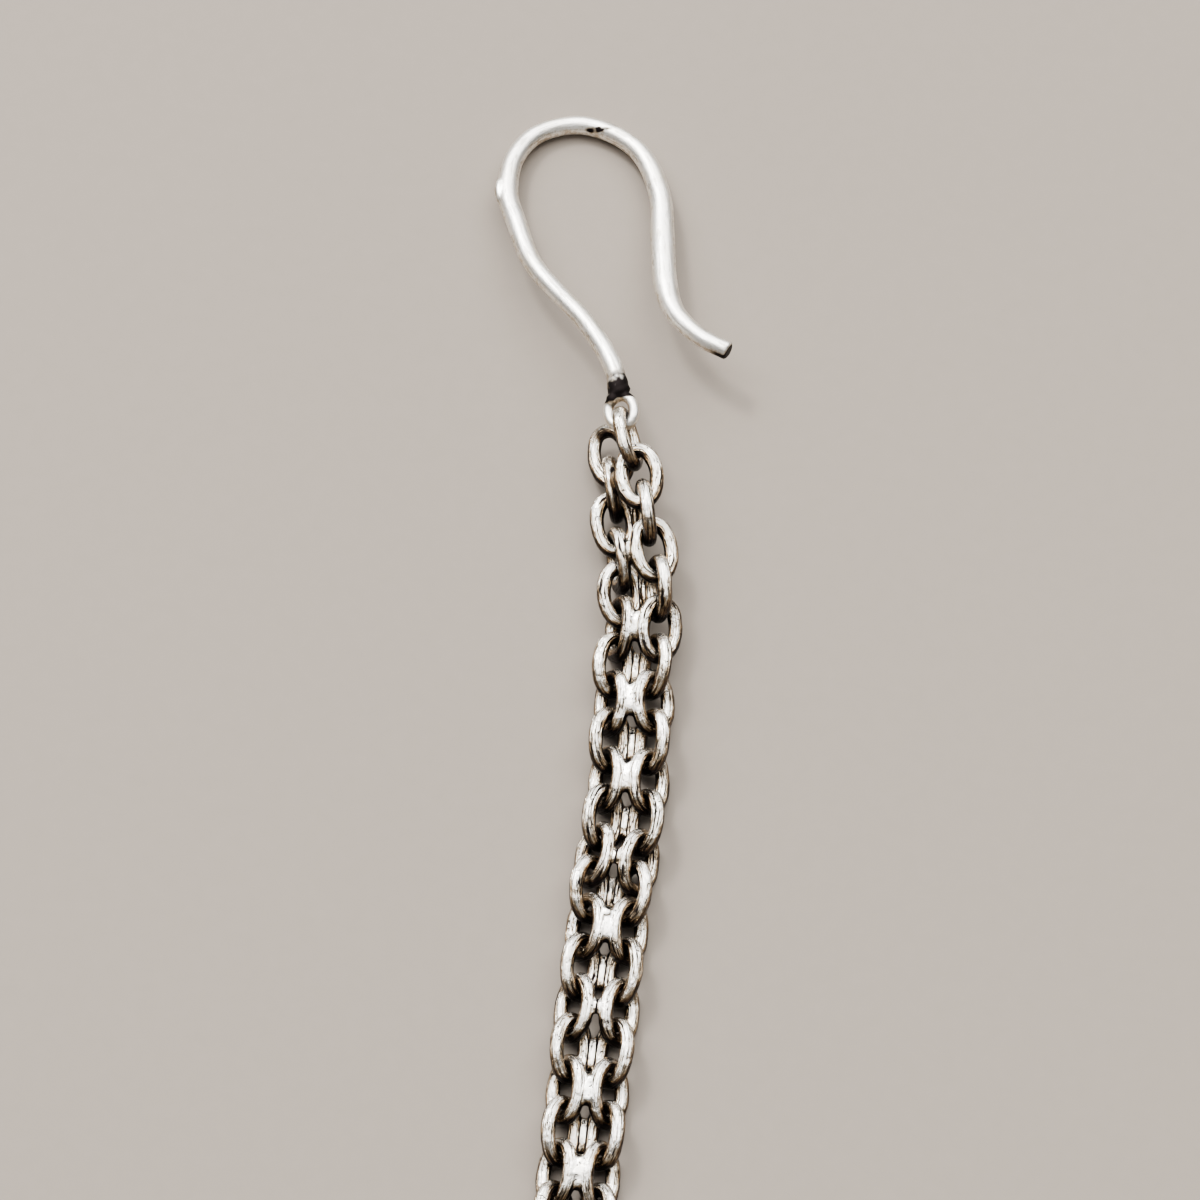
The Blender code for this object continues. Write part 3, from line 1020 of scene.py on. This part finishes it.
# How uneven the gloss is, and how much duller the black is
GLOSS_SPREAD = 0.16
BLACK_DULLNESS = 0.22
FINE_RELIEF = 0.3
PIT_RELIEF = 0.4

# Finishes: shade says how much shelter darkens the silver, and edges how much painted shade darkens the
# surfaces turned away from the light
FINISHES = {
    "aged_silver": dict(
        open_roughness=0.15, shade=0.75, edges=0.80, stripes=1.10, pitted=0.95, relief=0.12
    ),
    "polished_silver": dict(
        open_roughness=0.40, shade=0.30, edges=0.14, stripes=0.30, pitted=0.05, relief=0.05
    ),
    "satin_silver": dict(
        open_roughness=0.30, shade=0.45, edges=0.35, stripes=0.15, pitted=0.20, relief=0.10
    ),
}
SLOTS = {"hair_hook": "polished_silver", "drop": "satin_silver"}
CHAIN_SLOT = "aged_silver"


def worn_silver(name, open_roughness, shade, edges, stripes, pitted, relief):
    """Silver with painted light on top and painted shade where it turns away from the light, striped along
    its wires, golden to black where it is sheltered.
    """
    nodes = Nodes(name)
    place = nodes.stretch(nodes.add("ShaderNodeTexCoord").outputs["Object"], (1 / MM, 1 / MM, 1 / MM))
    grain = nodes.attribute("grain", vector=True)
    # Black solder and seams, with painted shade and a painted dark reflection on some pieces
    soot_and_shade = nodes.attribute("soot_and_shade")

    patches = nodes.noise(place, *PATCH_NOISE)
    fine = nodes.noise(place, *FINE_NOISE)
    drawn = nodes.noise(nodes.stretch(grain, DRAWN_STRETCH), *DRAWN_NOISE)
    drawn = nodes.math("SUBTRACT", drawn, DRAWN_MIDDLE)
    drawn = nodes.math("MULTIPLY_ADD", drawn, nodes.attribute("wire"), DRAWN_MIDDLE)
    pits = nodes.step(nodes.noise(place, *PIT_NOISE), *PIT_STEP)

    depth = nodes.math("MULTIPLY", nodes.attribute("shelter"), shade)
    # Painted shade on surfaces turned away from the light above and behind
    turned_away = nodes.math("SUBTRACT", 1.0, nodes.step(nodes.attribute("facing"), *FACING_STEP))
    depth = nodes.math("MULTIPLY_ADD", turned_away, edges, depth)
    depth = nodes.math("MULTIPLY_ADD", nodes.math("SUBTRACT", drawn, 0.5), STRIPE_DEPTH * stripes, depth)
    depth = nodes.math("MULTIPLY_ADD", nodes.math("SUBTRACT", fine, 0.5), FINE_DEPTH, depth)
    depth = nodes.math("MULTIPLY_ADD", soot_and_shade, SOOT_AND_SHADE_DEPTH, depth)

    tint = nodes.mix(nodes.step(patches, *PATCH_STEP), SILVER, SILVER_SHADE)
    for colour, start, full in TINT_STEPS:
        tint = nodes.mix(nodes.step(depth, start, full), tint, colour)
    black = nodes.math("MAXIMUM", nodes.step(depth, *BLACK_STEP), nodes.step(soot_and_shade, *SOOT_AND_SHADE_STEP))
    scored = nodes.math("MULTIPLY", nodes.step(drawn, *SCORED_STEP), stripes)
    marks = nodes.math("MAXIMUM", scored, nodes.math("MULTIPLY", pits, pitted))
    black = nodes.math("MAXIMUM", black, marks)
    nodes.join(nodes.mix(black, tint, OXIDE), nodes.shader.inputs["Base Color"])
    nodes.shader.inputs["Metallic"].default_value = 1.0

    gloss = nodes.math("MULTIPLY", fine, GLOSS_SPREAD)
    gloss = nodes.math("ADD", gloss, open_roughness - GLOSS_SPREAD / 2)
    gloss = nodes.math("MULTIPLY_ADD", black, BLACK_DULLNESS, gloss)
    nodes.join(gloss, nodes.shader.inputs["Roughness"])

    height = nodes.math("MULTIPLY", fine, FINE_RELIEF)
    height = nodes.math("MULTIPLY_ADD", nodes.math("SUBTRACT", 1.0, drawn), stripes, height)
    height = nodes.math("SUBTRACT", height, nodes.math("MULTIPLY", pits, PIT_RELIEF * pitted))
    nodes.join(nodes.bump(height, relief * MM), nodes.shader.inputs["Normal"])
    return nodes.material


def floor_material():
    """Pale matt paper."""
    nodes = Nodes("pale_floor")
    place = nodes.add("ShaderNodeTexCoord").outputs["Object"]
    fibre = nodes.noise(place, *FLOOR_FIBRES)
    nodes.join(nodes.mix(fibre, FLOOR_DARK, FLOOR_PALE), nodes.shader.inputs["Base Color"])
    nodes.shader.inputs["Roughness"].default_value = FLOOR_ROUGHNESS
    nodes.shader.inputs["Specular IOR Level"].default_value = FLOOR_SPECULAR
    return nodes.material


# Floor, light and camera
def add_floor():
    """Wide plane under the piece."""
    half = FLOOR_HALF_M
    corners = [(-half, -half, 0), (half, -half, 0), (half, half, 0), (-half, half, 0)]
    mesh = bpy.data.meshes.new("floor")
    mesh.from_pydata(corners, [], [(0, 1, 2, 3)])
    mesh.materials.append(floor_material())
    floor = bpy.data.objects.new("floor", mesh)
    bpy.context.scene.collection.objects.link(floor)


def add_key_light():
    """Small square area light from the upper left."""
    light = bpy.data.lights.new("key", "AREA")
    light.shape = "RECTANGLE"
    light.size = KEY_SIZE_M
    light.size_y = KEY_SIZE_M
    light.energy = KEY_POWER
    light.color = KEY_COLOUR
    box = bpy.data.objects.new("key", light)
    bpy.context.scene.collection.objects.link(box)
    box.location = KEY_PLACE_M
    box.rotation_euler = (Vector(KEY_AIM_M) - Vector(KEY_PLACE_M)).to_track_quat("-Z", "Y").to_euler()


def lit_patch(tree, direction, narrowing, axis, edge, strengths):
    """Round patch of the sky, bright about its axis and fading from the inner edge to the outer one."""
    value = direction
    for operation, other in (("MULTIPLY", narrowing), ("NORMALIZE", None), ("DOT_PRODUCT", axis)):
        step = tree.nodes.new("ShaderNodeVectorMath")
        step.operation = operation
        if other:
            step.inputs[1].default_value = other
        tree.links.new(value, step.inputs[0])
        value = step.outputs["Value" if operation == "DOT_PRODUCT" else "Vector"]
    patch = tree.nodes.new("ShaderNodeMapRange")
    patch.interpolation_type = "SMOOTHSTEP"
    sockets = ("From Min", "From Max", "To Min", "To Max")
    for name, number in zip(sockets, (*edge, *strengths)):
        patch.inputs[name].default_value = number
    tree.links.new(value, patch.inputs["Value"])
    return patch.outputs["Result"]


def add_sky():
    """White tent that ends above a dim horizon, and a grey card in front."""
    world = bpy.data.worlds.new("studio")
    world.use_nodes = True
    tree = world.node_tree
    background = tree.nodes["Background"]
    direction = tree.nodes.new("ShaderNodeTexCoord").outputs["Generated"]
    tent_strengths = (HORIZON_LIGHT, TENT_LIGHT)
    tent = lit_patch(tree, direction, TENT_NARROWING, TENT_AXIS, TENT_EDGE, tent_strengths)
    card = lit_patch(tree, direction, (1.0, 1.0, 1.0), CARD_AXIS, CARD_EDGE, (0.0, CARD_LIGHT))
    both = tree.nodes.new("ShaderNodeMath")
    tree.links.new(tent, both.inputs[0])
    tree.links.new(card, both.inputs[1])
    tree.links.new(both.outputs[0], background.inputs["Strength"])
    background.inputs["Color"].default_value = SKY_COLOUR
    bpy.context.scene.world = world


def add_camera(shift):
    """Camera above the chain, looking along +Y and down."""
    aim = Vector(CAMERA_AIM) + shift
    back = Vector((0, -math.cos(CAMERA_RISE), math.sin(CAMERA_RISE)))
    camera = bpy.data.cameras.new("camera")
    camera.sensor_fit = "HORIZONTAL"
    camera.sensor_width = SENSOR
    camera.lens = SENSOR * PIXELS_PER_MM * CAMERA_DISTANCE / PICTURE_PIXELS
    camera.clip_start = 0.01
    holder = bpy.data.objects.new("camera", camera)
    bpy.context.scene.collection.objects.link(holder)
    holder.location = (aim + back * CAMERA_DISTANCE) * MM
    holder.rotation_euler = (math.pi / 2 - CAMERA_RISE, 0, 0)
    bpy.context.scene.camera = holder


# Build
frames = chain_frames()
end_ring = end_ring_centre(frames[-1])
shift = row_shift(end_ring)
frames = [Matrix.Translation(shift) @ place for place in frames]
drop_low, drop_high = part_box("drop")
drop_edge = Vector(((drop_low.x + drop_high.x) / 2, drop_low.y, drop_low.z)) / MM

meshes = link_pairs(frames)
meshes["hair_hook"] = hook_mesh(hook_ring_frame(frames[0]))
meshes["end_ring"] = end_ring_mesh(end_ring + shift)
meshes["drop"] = drop_mesh(drop_edge + Vector((0, DROP_DIAMETER / 2, 0)))
shelter_pieces(list(meshes.values()))

materials = {name: worn_silver(name, **finish) for name, finish in FINISHES.items()}
for node, mesh in meshes.items():
    slot = SLOTS.get(node, CHAIN_SLOT)
    add_piece(f"{node}_skin", mesh, materials[slot], node)

add_floor()
add_key_light()
add_sky()
add_camera(shift)
